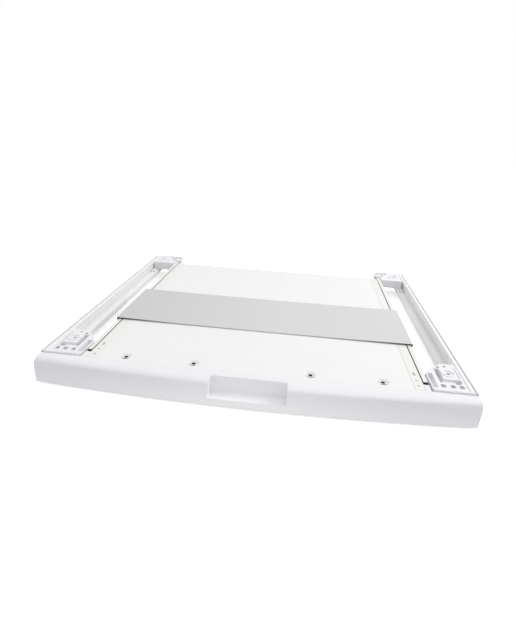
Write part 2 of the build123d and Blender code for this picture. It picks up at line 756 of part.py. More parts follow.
# Ribs, the floor that runs back under the panel, and the housing of the finger recess
with BuildPart() as fascia_inside:
    rib_pitch = (half_width - recess_width / 2) / (ribs_per_side + 1)
    rib_xs = [recess_width / 2 + (index + 1) * rib_pitch for index in range(ribs_per_side)]
    rib_places = [(side * x, seam_y) for side in (-1, 1) for x in rib_xs]
    with BuildSketch(Plane.XY.offset(fascia_bottom_z)):
        with Locations(*rib_places):
            Rectangle(fascia_rib, 2 * fascia_reach)
    extrude(amount=shelf_z - fascia_bottom_z)
    with BuildSketch(Plane.XY.offset(panel_bottom_z - flange_thickness)):
        with Locations((0, seam_y)):
            Rectangle(flange_width, 2 * fascia_reach)
    extrude(amount=flange_thickness)
    with BuildSketch(Plane.XY.offset(fascia_bottom_z)):
        with Locations((0, recess_back_y + fascia_wall - fascia_reach)):
            Rectangle(recess_width + 2 * fascia_wall, 2 * fascia_reach)
    extrude(amount=shelf_z - fascia_bottom_z)
    add(fascia_skin, mode=Mode.INTERSECT)

# Finger recess, open to the top and the front, with a scooped floor behind its lip
recess_lip_y = nose_y + recess_lip_width
with BuildPart() as recess_form:
    with BuildSketch(Plane.YZ.offset(-recess_width / 2)):
        with BuildLine():
            back_foot = (recess_back_y - recess_draft, recess_floor_z + recess_scoop)
            scoop_foot = (back_foot[0] - recess_scoop, recess_floor_z)
            lip_top = (recess_lip_y, recess_lip_z)
            Polyline(lip_top, (nose_y - overrun, recess_lip_z), (nose_y - overrun, kit_height))
            Polyline((nose_y - overrun, kit_height), (recess_back_y, kit_height), back_foot)
            SagittaArc(back_foot, scoop_foot, recess_scoop * (1 - math.sqrt(1 / 2)))
            Polyline(scoop_foot, lip_top)
        make_face()
    extrude(amount=recess_width)
    end_rims = recess_form.edges().group_by(Axis.X)
    fillet([rim.sort_by(Axis.Y)[-1] for rim in (end_rims[0], end_rims[-1])], recess_corner_radius)

with BuildPart() as front_fascia:
    add(fascia_skin)
    add(fascia_hollow, mode=Mode.SUBTRACT)
    add(fascia_inside.part)
    # Floor under the panel's front edge
    with BuildSketch(Plane.XY.offset(panel_bottom_z - flange_thickness)):
        with Locations((0, seam_y + flange_depth / 2)):
            Rectangle(flange_width, flange_depth)
    extrude(amount=flange_thickness)
    # Lugs that close the gaps between the runners and the tracks
    lug_outer_x = track_outer_x - track_sheet - lug_gap
    lug_width = lug_outer_x - runner_edge_x - seat_gap
    lug_root_y = seam_y - fascia_wall
    lug_mid_y = (lug_root_y + seam_y + lug_depth) / 2
    with BuildSketch(Plane.XY.offset(shelf_z)):
        with Locations(*[(side * (lug_outer_x - lug_width / 2), lug_mid_y) for side in (-1, 1)]):
            Rectangle(lug_width, lug_depth + fascia_wall)
    extrude(amount=-lug_height)
    add(recess_form.part, mode=Mode.SUBTRACT)
    # Holes for the screws from the panel
    with Locations(*[(x, fascia_screw_y, panel_bottom_z) for x in fascia_screw_xs]):
        Hole(fascia_screw_radius + screw_clearance, depth=flange_thickness)

# Cross plate: hung between the tracks, with a slight sag and a tab down each side
plate_outer_x = track_outer_x + plate_thickness
with BuildPart() as cross_plate:
    with BuildSketch(cross_section(seam_y + plate_front_depth)):
        with BuildLine():
            tab_z = kit_height - plate_tab_height
            sag_x = track_edge_x - seat_gap
            ThreePointArc((-sag_x, kit_height), (0, kit_height - plate_sag), (sag_x, kit_height))
            Polyline(
                (sag_x, kit_height),
                (plate_outer_x, kit_height),
                (plate_outer_x, tab_z),
                (track_outer_x, tab_z),
                (track_outer_x, plate_bottom_z),
                (sag_x, plate_bottom_z),
            )
            ThreePointArc((sag_x, plate_bottom_z), (0, plate_bottom_z - plate_sag), (-sag_x, plate_bottom_z))
            Polyline(
                (-sag_x, plate_bottom_z),
                (-track_outer_x, plate_bottom_z),
                (-track_outer_x, tab_z),
                (-plate_outer_x, tab_z),
                (-plate_outer_x, kit_height),
                (-sag_x, kit_height),
            )
        make_face()
    extrude(amount=plate_front_depth - plate_rear_depth)
    with BuildSketch(Plane.YZ.offset(-plate_outer_x)):
        with Locations(*[(y, rivet_z) for y in rivet_ys]):
            Circle(rivet_radius + screw_clearance)
    extrude(amount=2 * plate_outer_x, mode=Mode.SUBTRACT)

# Rivets through the plate's tabs and the webs of the tracks
with BuildPart() as right_rivets:
    for y in rivet_ys:
        with BuildSketch(Plane.YZ.offset(track_outer_x - track_sheet)):
            with Locations((y, rivet_z)):
                Circle(rivet_radius)
        extrude(amount=track_sheet + plate_thickness)
        with BuildSketch(Plane.YZ.offset(plate_outer_x)):
            with Locations((y, rivet_z)):
                Circle(rivet_head_radius)
        extrude(amount=rivet_head_height, taper=math.degrees(math.atan(1)) / 2)
        with BuildSketch(Plane.YZ.offset(track_outer_x - track_sheet)):
            with Locations((y, rivet_z)):
                Circle(rivet_head_radius)
        extrude(amount=-rivet_head_height)


def pan_screws(plane, places, length):
    """Pan-head screws whose heads stand on a plane and whose shanks run behind it."""
    with BuildPart() as screws:
        with BuildSketch(plane):
            with Locations(*places):
                Circle(pan_head_radius)
        extrude(amount=pan_head_height)
        with BuildSketch(plane):
            with Locations(*places):
                Circle(pan_radius)
        extrude(amount=-length)
        with BuildSketch(plane.offset(pan_head_height)):
            with Locations(*places):
                Rectangle(drive_length, drive_width)
                Rectangle(drive_width, drive_length)
        extrude(amount=-pan_head_height / 2, mode=Mode.SUBTRACT)
    return screws.part


# The track screws' heads stand inside the channel, and the others point up
inward = Plane(origin=(track_outer_x - track_sheet, 0, 0), x_dir=(0, 1, 0), z_dir=(-1, 0, 0))
right_track_screws = pan_screws(inward, [(y, -track_screw_z) for y in track_screw_ys], track_screw_length)
under_ledge = Plane(origin=(0, 0, ledge_z - rail_sheet), x_dir=(1, 0, 0), z_dir=(0, 0, -1))
right_ledge_screws = pan_screws(
    under_ledge, [(ledge_screw_x, -y) for y in front_ledge_screw_ys + rear_screw_ys], ledge_screw_length
)
under_runner = Plane(origin=(0, 0, panel_bottom_z - track_sheet), x_dir=(1, 0, 0), z_dir=(0, 0, -1))
runner_screws = pan_screws(under_runner, [(x, -y) for x, y in runner_screw_places], runner_screw_length)

# Countersunk screws with a cross drive
screw_top_z = shelf_z - fascia_screw_sink
cone_height = (fascia_screw_head_radius - fascia_screw_radius) / math.tan(math.radians(countersink_angle / 2))
with BuildPart() as fascia_screws:
    for x in fascia_screw_xs:
        with BuildSketch(Plane.XZ.offset(-fascia_screw_y)):
            with BuildLine():
                Polyline(
                    (x, screw_top_z),
                    (x + fascia_screw_head_radius, screw_top_z),
                    (x + fascia_screw_radius, screw_top_z - cone_height),
                    (x + fascia_screw_radius, screw_top_z - fascia_screw_length),
                    (x, screw_top_z - fascia_screw_length),
                    close=True,
                )
            make_face()
        revolve(axis=Axis((x, fascia_screw_y, 0), (0, 0, 1)))
    with BuildSketch(Plane.XY.offset(screw_top_z)):
        with Locations(*[(x, fascia_screw_y) for x in fascia_screw_xs]):
            Rectangle(drive_length, drive_width)
            Rectangle(drive_width, drive_length)
    extrude(amount=-drive_depth, mode=Mode.SUBTRACT)

# Pads under the columns of the front corners
with BuildPart() as right_pad:
    with BuildSketch():
        add(front_plan(column_outer_x))
        offset(amount=-pad_margin, mode=Mode.REPLACE)
    extrude(amount=grip_thickness)

pieces = {
    "right_side_rail": right_side_rail.part,
    "left_side_rail": mirrored(right_side_rail.part),
    "right_side_cover": right_side_cover.part,
    "left_side_cover": mirrored(right_side_cover.part),
    "right_grip_strip": right_grip_strip.part,
    "left_grip_strip": mirrored(right_grip_strip.part),
    "front_right_corner": front_right_corner.part,
    "front_left_corner": mirrored(front_right_corner.part),
    "rear_right_corner": rear_right_corner.part,
    "rear_left_corner": mirrored(rear_right_corner.part),
    "right_rail_clip": right_rail_clip.part,
    "left_rail_clip": mirrored(right_rail_clip.part),
    "right_runner_track": right_track.part,
    "left_runner_track": mirrored(right_track.part),
    "right_shelf_runner": right_shelf_runner.part,
    "left_shelf_runner": mirrored(right_shelf_runner.part),
    "right_front_roller": right_front_roller,
    "left_front_roller": mirrored(right_front_roller),
    "right_rear_roller": right_rear_roller,
    "left_rear_roller": mirrored(right_rear_roller),
    "front_roller_pins": both_sides(front_pin),
    "rear_roller_pins": both_sides(rear_pin),
    "shelf_panel": shelf_panel.part,
    "front_fascia": front_fascia.part,
    "fascia_screws": fascia_screws.part,
    "runner_screws": runner_screws,
    "cross_plate": cross_plate.part,
    "plate_rivets": both_sides(right_rivets.part),
    "track_screws": both_sides(right_track_screws),
    "ledge_screws": both_sides(right_ledge_screws),
    "front_pads": both_sides(right_pad.part),
}

os.makedirs("parts", exist_ok=True)
for name, piece in pieces.items():
    piece.label = name
    export_step(piece, f"parts/{name}.step")
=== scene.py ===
# %% [markdown]
# # Dressing a washer and dryer stacking kit
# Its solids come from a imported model, so this lesson adds no dimensions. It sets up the
# camera and the light, and then gives each piece the finish that the real one has.

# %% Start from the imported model
import json
import math

import bpy
from mathutils import Matrix, Vector


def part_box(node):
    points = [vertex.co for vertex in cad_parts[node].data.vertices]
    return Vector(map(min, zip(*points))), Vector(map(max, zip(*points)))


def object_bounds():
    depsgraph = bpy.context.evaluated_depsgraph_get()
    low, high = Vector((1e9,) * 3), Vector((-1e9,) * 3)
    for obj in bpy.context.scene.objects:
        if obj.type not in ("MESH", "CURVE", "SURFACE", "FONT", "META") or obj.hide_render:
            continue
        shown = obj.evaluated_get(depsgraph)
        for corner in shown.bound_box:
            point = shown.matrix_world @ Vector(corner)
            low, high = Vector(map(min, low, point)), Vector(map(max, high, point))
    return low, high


MM = 0.001
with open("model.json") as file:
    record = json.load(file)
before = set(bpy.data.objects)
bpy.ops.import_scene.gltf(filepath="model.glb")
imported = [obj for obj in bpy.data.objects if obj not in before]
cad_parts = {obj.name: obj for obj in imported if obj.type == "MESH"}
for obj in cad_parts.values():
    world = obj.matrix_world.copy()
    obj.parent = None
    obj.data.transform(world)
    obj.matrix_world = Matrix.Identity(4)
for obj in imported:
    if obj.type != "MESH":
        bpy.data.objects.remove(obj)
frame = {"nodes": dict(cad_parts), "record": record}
nodes = frame["nodes"]
cad_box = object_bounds()
size_mm = [round((high - low) / MM, 1) for low, high in zip(*cad_box)]
print("pieces:", len(nodes), "size in mm:", size_mm)

# %% [markdown]
# ## The camera
# A camera can be placed by eye, or worked out from straight edges of the object whose real
# lengths are known. The second way was used here: the frame's four corners, the plate's
# corners and the screws gave one position, three angles and one focal length. Blender wants
# a matrix, so the three view directions are built from the angles and become its columns.

# %% Place the camera
CAMERA_PLACE = Vector((50.72, -738.47, 341.44)) * MM
TURN, DROP, ROLL = (math.radians(angle) for angle in (-5.42, 23.71, 2.96))
FOCAL_PIXELS = 432.28
LONG_SIDE_PIXELS = 640
CENTRE_OFFSET_PIXELS = (2.51, -2.2)
SENSOR_WIDTH_MM = 36.0
NEAREST_SEEN = 0.01


def view_matrix(place, turn, drop, roll):
    """Matrix of a camera at a place, from its turn about Z, its drop and its roll."""
    ahead = Vector((math.sin(turn) * math.cos(drop), math.cos(turn) * math.cos(drop), -math.sin(drop)))
    level = Vector((math.cos(turn), -math.sin(turn), 0.0))
    above = level.cross(ahead)
    right = level * math.cos(roll) + above * math.sin(roll)
    up = above * math.cos(roll) - level * math.sin(roll)
    columns = Matrix((right, up, -ahead)).transposed()
    return Matrix.Translation(place) @ columns.to_4x4()


lens = bpy.data.cameras.new("lens")
lens.sensor_width = SENSOR_WIDTH_MM
lens.lens = FOCAL_PIXELS / LONG_SIDE_PIXELS * lens.sensor_width
lens.shift_x, lens.shift_y = (offset / LONG_SIDE_PIXELS for offset in CENTRE_OFFSET_PIXELS)
lens.clip_start = NEAREST_SEEN
camera = bpy.data.objects.new("camera", lens)
camera.matrix_world = view_matrix(CAMERA_PLACE, TURN, DROP, ROLL)
bpy.context.scene.collection.objects.link(camera)
bpy.context.scene.camera = camera
print("focal length in mm:", round(lens.lens, 2))

# %% [markdown]
# ## The lamps
# White things on a white ground are lit softly, or their edges disappear. A sun with a wide
# disc gives soft shadows of the same depth everywhere. A weak lamp on the left reaches the
# inner wall of the right rail. Smaller lamps would do it too, but they would draw hard dark
# edges.

# %% Sun and two round lamps
SUN_LEVEL = 0.22
SUN_WIDTH = math.radians(60.0)
SUN_PLACE = Vector((0.3, 0.12, 1.0))
BOX_SIZE = 0.9
SIDE_POWER = 14.0
SIDE_PLACE = Vector((1.6, 0.2, 1.2))
LEFT_POWER = 1.5
LEFT_PLACE = Vector((-1.2, -0.5, 0.9))


def set_up(lamp, place):
    holder = bpy.data.objects.new(lamp.name, lamp)
    holder.location = place
    holder.rotation_euler = (-place).to_track_quat("-Z", "Y").to_euler()
    bpy.context.scene.collection.objects.link(holder)


def round_lamp(name, power, place):
    """A round soft lamp at a place."""
    lamp = bpy.data.lights.new(name, "AREA")
    lamp.energy = power
    lamp.shape = "DISK"
    lamp.size = BOX_SIZE
    set_up(lamp, place)


sun = bpy.data.lights.new("soft_sun", "SUN")
sun.energy = SUN_LEVEL
sun.angle = SUN_WIDTH
set_up(sun, SUN_PLACE)
round_lamp("side_box", SIDE_POWER, SIDE_PLACE)
round_lamp("left_box", LEFT_POWER, LEFT_PLACE)
print("lamps:", [lamp.name for lamp in bpy.data.lights])

# %% [markdown]
# ## Helpers for shader nodes
# The sky, the floor and every finish are trees of shader nodes. Each node could be added,
# filled and linked in lines of its own, but with this many nodes the lines would hide what
# they do. So one helper adds a node in one call: it types in values and links outputs.

# %% Add a node, a math node or an empty material
COLUMN_WIDTH, ROW_HEIGHT = 220, 180


def wire(tree, kind, place, inputs=None, **settings):
    """Adds a shader node, sets its properties, and fills its inputs with values or links."""
    made = tree.nodes.new(kind)
    made.location = (place[0] * COLUMN_WIDTH, -place[1] * ROW_HEIGHT)
    for name, value in settings.items():
        setattr(made, name, value)
    for name, value in (inputs or {}).items():
        if isinstance(value, bpy.types.NodeSocket):
            tree.links.new(value, made.inputs[name])
        else:
            made.inputs[name].default_value = value
    return made


def math_step(tree, place, operation, first, second):
    """Output of one math node."""
    return wire(tree, "ShaderNodeMath", place, {0: first, 1: second}, operation=operation).outputs[0]


def blank_material(name):
    """A material with nothing in it, and its node tree."""
    material = bpy.data.materials.new(name)
    material.use_nodes = True
    material.node_tree.nodes.clear()
    return material, material.node_tree


print("helpers:", wire.__name__, math_step.__name__, blank_material.__name__)

# %% [markdown]
# ## The sky
# Most of the light comes from the sky, which is brighter above than near the ground. The
# background has to look white, and a sky that is white all over would give too much light.
# The Light Path node tells the two uses apart: the camera, mirrors and glass see the sky at
# strength 1, and the rays that only carry light find the gradient.

# %% White background with a gradient of light
SKY_LOW = 0.45
SKY_HIGH = 0.88
WHITE = (1.0, 1.0, 1.0, 1.0)


def seen_share(tree, place):
    """1 for rays from the camera, mirrors and glass, and 0 for rays that only carry light."""
    column, row = place
    ray = wire(tree, "ShaderNodeLightPath", place).outputs
    first = math_step(tree, (column + 1, row), "MAXIMUM", ray["Is Camera Ray"], ray["Is Glossy Ray"])
    return math_step(tree, (column + 2, row), "MAXIMUM", first, ray["Is Transmission Ray"])


sky = bpy.data.worlds.new("sky")
sky.use_nodes = True
sky_tree = sky.node_tree
sky_tree.nodes.clear()
towards = wire(sky_tree, "ShaderNodeTexCoord", (0, 2)).outputs["Generated"]
height = wire(sky_tree, "ShaderNodeSeparateXYZ", (1, 2), {0: towards}).outputs["Z"]
sky_level = wire(
    sky_tree, "ShaderNodeMapRange", (2, 2), {"Value": height, "To Min": SKY_LOW, "To Max": SKY_HIGH}
)
strength = wire(
    sky_tree, "ShaderNodeMapRange", (3, 0),
    {"Value": seen_share(sky_tree, (0, 0)), "To Min": sky_level.outputs[0], "To Max": 1.0},
)
white_sky = wire(
    sky_tree, "ShaderNodeBackground", (4, 0), {"Color": WHITE, "Strength": strength.outputs[0]}
)
wire(sky_tree, "ShaderNodeOutputWorld", (5, 0), {"Surface": white_sky.outputs[0]})
bpy.context.scene.world = sky
print("sky levels:", SKY_LOW, SKY_HIGH, "sun level:", SUN_LEVEL)

# %% [markdown]
# ## The floor
# A plane that only catches shadows would do for the picture, but the paper also throws
# light up at the fascia and into the slots. So the floor is a pale matt plane. The shadow
# falls on the part that is lit.

# %% Pale floor
FLOOR_REACH = 7.0
FLOOR_GLOW = 0.65
FLOOR_SHADE = (0.92, 0.92, 0.92, 1.0)
FLOOR_CORNERS = ((-1, -1), (1, -1), (1, 1), (-1, 1))
floor_mesh = bpy.data.meshes.new("studio_floor")
floor_points = [(x * FLOOR_REACH, y * FLOOR_REACH, 0.0) for x, y in FLOOR_CORNERS]
floor_mesh.from_pydata(floor_points, [], [(0, 1, 2, 3)])
floor = bpy.data.objects.new("studio_floor", floor_mesh)
bpy.context.scene.collection.objects.link(floor)

paper, paper_tree = blank_material("studio_paper")
matt = wire(paper_tree, "ShaderNodeBsdfDiffuse", (2, 0), {"Color": FLOOR_SHADE})
glow_level = math_step(paper_tree, (3, 1), "MULTIPLY", seen_share(paper_tree, (0, 1)), FLOOR_GLOW)
glow = wire(paper_tree, "ShaderNodeEmission", (4, 1), {"Strength": glow_level})
lit_paper = wire(paper_tree, "ShaderNodeAddShader", (5, 0), {0: matt.outputs[0], 1: glow.outputs[0]})
wire(paper_tree, "ShaderNodeOutputMaterial", (6, 0), {"Surface": lit_paper.outputs[0]})
floor_mesh.materials.append(paper)
bpy.context.scene.view_settings.view_transform = "Standard"
print("floor reach in m:", FLOOR_REACH)

# %% [markdown]
# ## Shared surface effects
# Copying the same nodes into every material would work, but a node group can be mended in one
# place. Each group has named inputs, reads the object's own coordinates in metres, and puts
# out values.

# %% A helper that starts a node group
OUTPUT_PLACE = (1500, 0)


def effect(name, inputs, outputs):
    """A node group with float inputs, given by name and value, and the named outputs."""
    tree = bpy.data.node_groups.new(name, "ShaderNodeTree")
    for label, value in inputs.items():
        socket = tree.interface.new_socket(name=label, in_out="INPUT", socket_type="NodeSocketFloat")
        socket.default_value = value
    for label in outputs:
        tree.interface.new_socket(name=label, in_out="OUTPUT", socket_type="NodeSocketFloat")
    entry = tree.nodes.new("NodeGroupInput")
    leave = tree.nodes.new("NodeGroupOutput")
    leave.location = OUTPUT_PLACE
    spot = wire(tree, "ShaderNodeTexCoord", (0, 2)).outputs["Object"]
    return tree, entry.outputs, leave.inputs, spot


def box_in_mm(node):
    """Lowest and highest corner of a piece, in millimetres."""
    return [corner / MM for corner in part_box(node)]


print("helpers:", effect.__name__, box_in_mm.__name__)

# %% [markdown]
# ### Mould grain, and painted light and shade on the fascia
# A moulded face has a fine grain and slow, cloudy changes of tone. The hollow fascia also has a thin
# front wall. The group paints light onto its lower part, standing in for the light that the floor throws
# up, and paints shade onto its ends. A painted picture could show that. Instead the group works this
# painted light and shade out from the height and from the distance to the middle, and its two inputs for
# it stay at nought on all other pieces.

# %% Fine grain and clouds
GRAIN_AND_PAINTED_LIGHT_INPUTS = {"Scale": 2600.0, "Cloud": 22.0, "Spread": 1.0, "Base": 0.0, "Painted Light Low": 0.0, "Painted End Shade": 0.0}
grain_and_painted_light, entry, leave, spot = effect("mould_grain_and_painted_light", GRAIN_AND_PAINTED_LIGHT_INPUTS, ("Height", "Tone"))
fine = wire(
    grain_and_painted_light, "ShaderNodeTexNoise", (2, 0),
    {"Vector": spot, "Scale": entry["Scale"], "Detail": 3.0, "Roughness": 0.6},
)
cloud = wire(
    grain_and_painted_light, "ShaderNodeTexNoise", (2, 2),
    {"Vector": spot, "Scale": entry["Cloud"], "Detail": 2.0, "Roughness": 0.5},
)
cloudy = math_step(grain_and_painted_light, (3, 2), "MULTIPLY", cloud.outputs[0], entry["Spread"])
based = math_step(grain_and_painted_light, (4, 2), "ADD", cloudy, entry["Base"])
print("effect:", grain_and_painted_light.name)

# %% Painted light on the lower front wall and painted shade at its ends
FRONT_HEM, FRONT_BROW = 2.4, 4.0
FRONT_LEVEL_X = 100.0 * MM
HALF_SWING = 0.5
fascia_low, fascia_high = box_in_mm("front_fascia")
front_low = (fascia_low.z + FRONT_HEM) * MM
front_high = (fascia_high.z - FRONT_BROW) * MM
front_top = fascia_high.z * MM

split = wire(grain_and_painted_light, "ShaderNodeSeparateXYZ", (1, 4), {0: spot}).outputs
painted_light_ramp = wire(
    grain_and_painted_light, "ShaderNodeMapRange", (2, 4),
    {
        "Value": split["Z"], "From Min": front_low, "From Max": front_high,
        "To Min": HALF_SWING, "To Max": -HALF_SWING,
    },
)
on_front = wire(
    grain_and_painted_light, "ShaderNodeMapRange", (2, 5),
    {"Value": split["Z"], "From Min": front_high, "From Max": front_top, "To Min": 1.0, "To Max": 0.0},
)
# Painted light: the lower front wall is made lighter, and its ends are made darker as painted shade.
painted_light_low = math_step(grain_and_painted_light, (3, 4), "MULTIPLY", painted_light_ramp.outputs[0], entry["Painted Light Low"])
from_middle = math_step(grain_and_painted_light, (2, 6), "ABSOLUTE", split["X"], 0.0)
past_level = math_step(grain_and_painted_light, (3, 6), "SUBTRACT", from_middle, FRONT_LEVEL_X)
painted_end_shade = math_step(grain_and_painted_light, (4, 6), "MULTIPLY", past_level, entry["Painted End Shade"])
painted_light_and_shade = math_step(grain_and_painted_light, (4, 4), "SUBTRACT", painted_light_low, painted_end_shade)
painted_front_tone = math_step(grain_and_painted_light, (5, 4), "MULTIPLY", painted_light_and_shade, on_front.outputs[0])
tone_with_painted_light = math_step(grain_and_painted_light, (6, 2), "ADD", based, painted_front_tone)
grain_and_painted_light.links.new(fine.outputs[0], leave["Height"])
grain_and_painted_light.links.new(tone_with_painted_light, leave["Tone"])
print("front wall from", round(front_low / MM, 1), "to", round(front_high / MM, 1), "mm")

# %% [markdown]
# ### Powder coat
# Powder melts to a skin that ripples like an orange's. Noise with little detail gives the
# ripple, and a much wider noise gives the slow change of tone.

# %% Powder coat ripple
peel, entry, leave, spot = effect("coat_ripple", {"Scale": 620.0}, ("Height", "Tone"))
ripple = wire(
    peel, "ShaderNodeTexNoise", (2, 0),
    {"Vector": spot, "Scale": entry["Scale"], "Detail": 1.0, "Roughness": 0.4, "Distortion": 0.3},
)
wide = wire(peel, "ShaderNodeTexNoise", (2, 2), {"Vector": spot, "Scale": 14.0, "Detail": 3.0})
peel.links.new(ripple.outputs[0], leave["Height"])
peel.links.new(wide.outputs[0], leave["Tone"])
print("effect:", peel.name)

# %% [markdown]
# ### Zinc, and painted light on a sheet
# Galvanised sheet has crystals in several greys, and the rolls leave fine strokes along it.
# Voronoi cells make the crystals. Their straight borders would look like glass panes, so noise bends
# them first. One input paints light: it makes one end of a wide sheet brighter, as the plate is on the
# side of the lamp.

# %% Zinc crystals, strokes and painted light
BEND = 0.012
STROKE_STRETCH = (0.02, 1.0, 1.0)
ZINC_AND_PAINTED_LIGHT_INPUTS = {"Scale": 90.0, "Strokes": 2200.0, "Spread": 1.0, "Painted Light Lean": 0.0, "Base": 0.0}
zinc_and_painted_light, entry, leave, spot = effect("zinc_crystals_and_painted_light", ZINC_AND_PAINTED_LIGHT_INPUTS, ("Tone", "Height"))
bent = wire(zinc_and_painted_light, "ShaderNodeTexNoise", (1, 1), {"Vector": spot, "Scale": 60.0, "Detail": 2.0})
moved = wire(
    zinc_and_painted_light, "ShaderNodeVectorMath", (2, 1), {0: bent.outputs["Color"], 1: (BEND, BEND, BEND)},
    operation="MULTIPLY",
)
shifted = wire(zinc_and_painted_light, "ShaderNodeVectorMath", (3, 1), {0: spot, 1: moved.outputs[0]}, operation="ADD")
crystals = wire(
    zinc_and_painted_light, "ShaderNodeTexVoronoi", (4, 0), {"Vector": shifted.outputs[0], "Scale": entry["Scale"]}
)
tone = wire(zinc_and_painted_light, "ShaderNodeRGBToBW", (5, 0), {0: crystals.outputs["Color"]})
across = wire(zinc_and_painted_light, "ShaderNodeSeparateXYZ", (4, 2), {0: spot}).outputs["X"]
# Painted light: the tone grows along X, brighter towards the lamp's side.
painted_light_lean = math_step(zinc_and_painted_light, (5, 2), "MULTIPLY", across, entry["Painted Light Lean"])
lifted = math_step(zinc_and_painted_light, (6, 2), "ADD", painted_light_lean, entry["Base"])
patchy = math_step(zinc_and_painted_light, (6, 0), "MULTIPLY", tone.outputs[0], entry["Spread"])
tone_with_painted_lean = math_step(zinc_and_painted_light, (7, 0), "ADD", patchy, lifted)
stretch = wire(zinc_and_painted_light, "ShaderNodeMapping", (1, 3), {"Vector": spot, "Scale": STROKE_STRETCH})
strokes = wire(
    zinc_and_painted_light, "ShaderNodeTexNoise", (2, 3),
    {"Vector": stretch.outputs[0], "Scale": entry["Strokes"], "Detail": 3.0},
)
zinc_and_painted_light.links.new(tone_with_painted_lean, leave["Tone"])
zinc_and_painted_light.links.new(strokes.outputs[0], leave["Height"])
print("effect:", zinc_and_painted_light.name)

# %% [markdown]
# ### Dust
# A kit that has stood in a room has a trace of dust on what faces up. Noise could cover all
# faces alike, but dust settles, so the noise is multiplied by how far the face looks up.

# %% Trace of dust on what faces up
dust, entry, leave, spot = effect("fine_dust", {"Scale": 45.0, "Amount": 0.06}, ("Mask",))
patches = wire(
    dust, "ShaderNodeTexNoise", (2, 0),
    {"Vector": spot, "Scale": entry["Scale"], "Detail": 6.0, "Roughness": 0.7},
)
facing = wire(dust, "ShaderNodeNewGeometry", (1, 3)).outputs["Normal"]
upward = wire(dust, "ShaderNodeSeparateXYZ", (2, 3), {0: facing}).outputs["Z"]
settled = math_step(dust, (3, 3), "MAXIMUM", upward, 0.0)
kept = wire(
    dust, "ShaderNodeMapRange", (3, 0), {"Value": patches.outputs[0], "From Min": 0.45, "From Max": 0.8}
)
laid = math_step(dust, (4, 1), "MULTIPLY", kept.outputs[0], settled)
amount = math_step(dust, (5, 1), "MULTIPLY", laid, entry["Amount"])
dust.links.new(amount, leave["Mask"])
print("effect:", dust.name)

# %% [markdown]
# ### Painted shade
# Shade is painted in box-shaped zones: into the gap inside the runners, onto the screws' sockets and
# heads, into the corners and along the crowns of the rails, and along the covers' outer edge. Vertex
# colours could say where, but the solids' meshes are left as they are. Its input Rise makes the mark
# grow slowly upwards.

# %% Zone inside a box
FAR = 1000.0
ZONE_EDGE = 0.4
ZONE_INPUTS = {"Rise": 1.0, "Edge": ZONE_EDGE * MM}
for axis in "XYZ":
    ZONE_INPUTS[f"Low {axis}"] = 0.0 if axis == "X" else -FAR * MM
    ZONE_INPUTS[f"High {axis}"] = FAR * MM
zone, entry, leave, spot = effect("painted_shade_zone", ZONE_INPUTS, ("Mask",))
sides = wire(zone, "ShaderNodeVectorMath", (1, 1), {0: spot}, operation="ABSOLUTE")
either_side = wire(zone, "ShaderNodeSeparateXYZ", (2, 1), {0: sides.outputs[0]}).outputs
plain = wire(zone, "ShaderNodeSeparateXYZ", (2, 2), {0: spot}).outputs
inside = 1.0
for row, axis in enumerate("XYZ"):
    value = (either_side if axis == "X" else plain)[axis]
    above = math_step(zone, (3, 2 * row), "SUBTRACT", value, entry[f"Low {axis}"])
    if axis == "Z":
        above = math_step(zone, (4, 2 * row + 1), "MULTIPLY", above, entry["Rise"])
    below = math_step(zone, (3, 2 * row + 1), "SUBTRACT", entry[f"High {axis}"], value)
    nearest = math_step(zone, (4, 2 * row), "MINIMUM", above, below)
    inside = math_step(zone, (5, 2 * row), "MINIMUM", nearest, inside)
soft = wire(zone, "ShaderNodeMapRange", (6, 0), {"Value": inside, "From Max": entry["Edge"]})
smear = wire(zone, "ShaderNodeTexNoise", (5, 7), {"Vector": spot, "Scale": 240.0, "Detail": 3.0})
uneven = wire(
    zone, "ShaderNodeMapRange", (6, 7), {"Value": smear.outputs[0], "To Min": 0.75, "To Max": 1.1}
)
smeared = math_step(zone, (7, 0), "MULTIPLY", soft.outputs[0], uneven.outputs[0])
zone.links.new(smeared, leave["Mask"])


def painted_shade_mark(colour, x=(0.0, FAR), y=(-FAR, FAR), z=(-FAR, FAR), rise=1.0, edge=ZONE_EDGE):
    """A mark of painted shade for a finish: the zone effect, its limits from millimetres, and a colour.
    """
    settings = {"Rise": rise, "Edge": edge * MM}
    for axis, (low, high) in zip("XYZ", (x, y, z)):
        settings[f"Low {axis}"] = low * MM
        settings[f"High {axis}"] = high * MM
    return zone, settings, colour


print("effect:", zone.name)

# %% [markdown]
# ### Painted shadow on edges
# The front and rear edges of the plate get a painted shadow, which stands in for the dark gap under the
# plate's front edge. The edges face the front and the rear, so the direction of the face finds them
# without a seam. The painted shadow grows darker towards the ends, and two inputs say from which
# distance to the middle.

# %% Painted shadow on the edges of a sheet, which face the front or the rear
EDGE_INPUTS = {"Least": 0.5, "Start X": 0.0, "Full X": 0.1}
edge_shadow_tree, entry, leave, spot = effect("painted_edge_shadow", EDGE_INPUTS, ("Mask",))
own_normal = wire(edge_shadow_tree, "ShaderNodeTexCoord", (1, 0)).outputs["Normal"]
turned = wire(edge_shadow_tree, "ShaderNodeSeparateXYZ", (2, 0), {0: own_normal}).outputs["Y"]
ahead = math_step(edge_shadow_tree, (3, 0), "ABSOLUTE", turned, 0.0)
front_or_rear_faces = wire(edge_shadow_tree, "ShaderNodeMapRange", (4, 0), {"Value": ahead, "From Min": entry["Least"]})
sideways = wire(edge_shadow_tree, "ShaderNodeSeparateXYZ", (2, 2), {0: spot}).outputs["X"]
outward = math_step(edge_shadow_tree, (3, 2), "ABSOLUTE", sideways, 0.0)
darker_towards_ends = wire(
    edge_shadow_tree, "ShaderNodeMapRange", (4, 2),
    {"Value": outward, "From Min": entry["Start X"], "From Max": entry["Full X"]},
)
